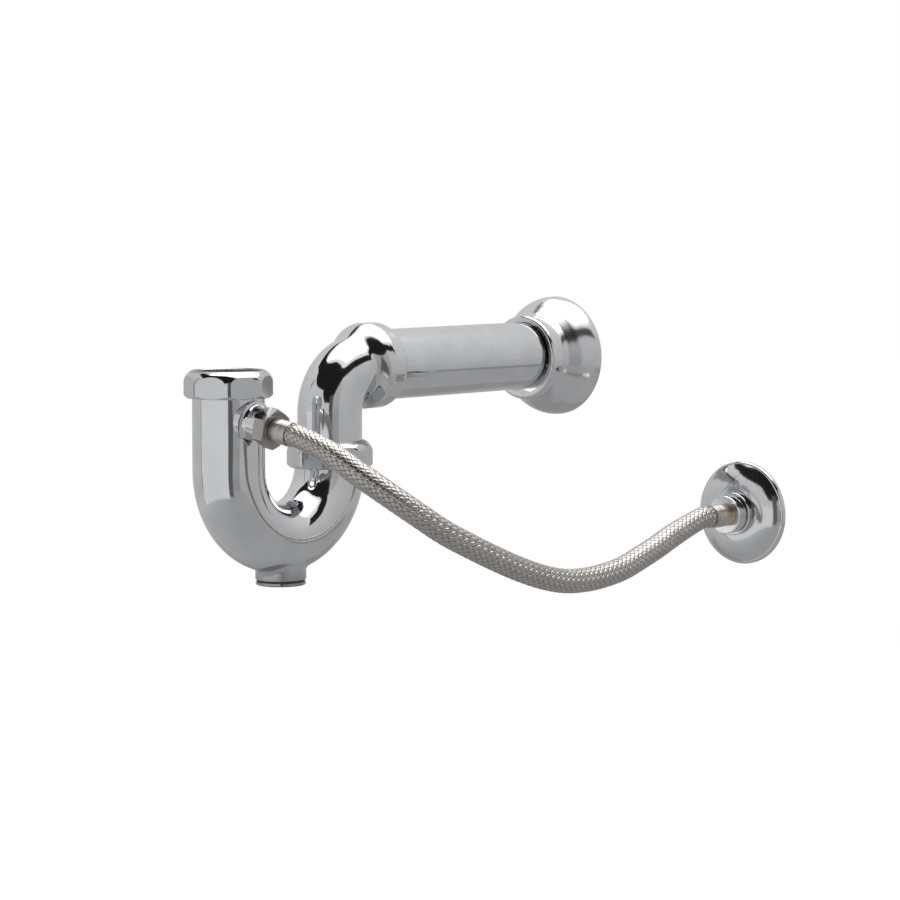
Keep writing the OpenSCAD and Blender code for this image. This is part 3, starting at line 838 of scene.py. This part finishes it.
def curved_card(name, away, outline):
    """A card bent round the object, with its lower and upper edges following an outline."""
    bpy.ops.mesh.primitive_grid_add(x_subdivisions=CARD_GRID[0], y_subdivisions=CARD_GRID[1], size=2.0)
    card = bpy.context.object
    card.name = name
    turns, lows, highs = zip(*outline)
    for vertex in card.data.vertices:
        x, y = 0.5 + vertex.co.x / 2, 0.5 + vertex.co.y / 2
        turn = turns[0] + (turns[-1] - turns[0]) * x
        low, high = np.interp(turn, turns, lows), np.interp(turn, turns, highs)
        vertex.co = MIDDLE + away * direction(turn, low + (high - low) * y)
    return card


def only_in_reflections(made):
    made.visible_camera = False
    made.visible_diffuse = False
    made.visible_shadow = False
    made.visible_transmission = False
    made.visible_volume_scatter = False


def glow_finish(name, levels, along, foot, head):
    """A glow that goes evenly from one brightness to another in one direction."""
    f = new_finish(name)
    far = f.node("ShaderNodeVectorMath", {"operation": "DOT_PRODUCT"},
                 {0: f.place(), 1: along}, out="Value")
    first, second = [f.glow(level) for level in levels]
    both = f.node("ShaderNodeMixShader", None, {0: f.spread(far, foot, head), 1: first, 2: second})
    return f.output(both)


def looked_at(f):
    """1 for what the camera sees straight, in chrome or through glass, 0 for light that falls."""
    first, *others = [f.node("ShaderNodeLightPath", out=kind)
                      for kind in ("Is Camera Ray", "Is Glossy Ray", "Is Transmission Ray")]
    for other in others:
        first = f.node("ShaderNodeMath", {"operation": "MAXIMUM"}, {0: first, 1: other})
    return first


def floor_finish(colour):
    """White to the camera and in the chrome, with some of its own shading left for the shadow."""
    f = new_finish("pale_floor")
    speck = f.noise(scale=6.0, detail=3.0)
    matt = f.node("ShaderNodeBsdfDiffuse", None,
                  {"Color": f.mix(speck, colour, share_of(colour, FLOOR_SPECK_SHARE))})
    white = f.glow(1.0, FLOOR_WHITE)
    both = f.node("ShaderNodeMixShader", None,
                  {0: looked_at(f) * FLOOR_WHITE_SHARE, 1: matt, 2: white})
    return f.output(both)


def white_surroundings():
    world = bpy.data.worlds.new("studio")
    f = Finish(world)
    sky = f.node("ShaderNodeBackground", None,
                 {"Color": (1, 1, 1, 1), "Strength": between(looked_at(f), (SKY_LIGHT, 1.0))})
    f.node("ShaderNodeOutputWorld", None, {"Surface": sky})
    return world


class PTRAP_OT_stage(bpy.types.Operator):
    """Sets the pale floor, the soft boxes, the cards and the world"""
    bl_idname = "ptrap.stage"
    bl_label = "Stage"

    def execute(self, context):
        stage = context.scene.ptrap_stage
        clear_selection()
        bpy.ops.mesh.primitive_plane_add(size=FLOOR_WIDTH, location=(0.0, 0.0, stage.floor_height))
        floor = context.object
        floor.name = "floor"
        floor.data.materials.append(floor_finish(stage.floor_colour))

        for order, (name, size, behind, levels) in enumerate(FLOOR_PATCHES):
            spot = MIDDLE - FRONT * behind
            height = stage.floor_height + PATCH_LIFT + PATCH_STEP * order
            bpy.ops.mesh.primitive_plane_add(size=size, location=(*spot.xy, height))
            patch = context.object
            patch.name = name
            patch.data.materials.append(glow_finish(name, levels, -RIGHT, *FLOOR_BRIGHTENS))
            only_in_reflections(patch)

        for name, away, levels, outline in CARDS:
            card = curved_card(name, away, outline)
            heights = [vertex.co.z for vertex in card.data.vertices]
            card.data.materials.append(glow_finish(name, levels, (0, 0, 1), min(heights), max(heights)))
            only_in_reflections(card)

        for name, (round_deg, up_deg), away, size, power, shows in SOFT_BOXES:
            toward = direction(round_deg, up_deg)
            turn = toward.to_track_quat("Z", "Y").to_euler()
            bpy.ops.object.light_add(type="AREA", location=MIDDLE + toward * away, rotation=turn)
            lamp = context.object
            lamp.name = name
            lamp.data.shape = "SQUARE"
            lamp.data.size = size
            lamp.data.energy = getattr(stage, power)
            lamp.visible_glossy = shows

        context.scene.world = white_surroundings()
        context.scene.view_settings.view_transform = "Standard"
        return {"FINISHED"}


# Panel

STEPS = ("camera", "hose", "chrome", "boss_root", "hub_root", "small_parts", "stage")
SETTINGS = {
    "ptrap_hose": HoseSettings, "ptrap_boss": BossSettings, "ptrap_hub": HubSettings,
    "ptrap_finish": FinishSettings, "ptrap_stage": StageSettings,
}


class PTRAP_PT_steps(bpy.types.Panel):
    """Lists the steps that dress the trap, in order"""
    bl_idname = "PTRAP_PT_steps"
    bl_label = "P trap"
    bl_space_type = "VIEW_3D"
    bl_region_type = "UI"
    bl_category = "P trap"

    def draw(self, context):
        for step in STEPS:
            self.layout.operator("ptrap." + step)
        for group in SETTINGS:
            settings = getattr(context.scene, group)
            box = self.layout.box()
            for name in settings.__annotations__:
                box.prop(settings, name)


CLASSES = (
    *SETTINGS.values(),
    PTRAP_OT_camera, PTRAP_OT_hose, PTRAP_OT_chrome, PTRAP_OT_boss_root, PTRAP_OT_hub_root,
    PTRAP_OT_small_parts, PTRAP_OT_stage,
    PTRAP_PT_steps,
)


def register():
    for each in CLASSES:
        bpy.utils.register_class(each)
    for name, group in SETTINGS.items():
        setattr(bpy.types.Scene, name, PointerProperty(type=group))


def unregister():
    for name in SETTINGS:
        delattr(bpy.types.Scene, name)
    for each in reversed(CLASSES):
        bpy.utils.unregister_class(each)


def main():
    register()
    for step in STEPS:
        getattr(bpy.ops.ptrap, step)()


if __name__ == "__main__":
    main()
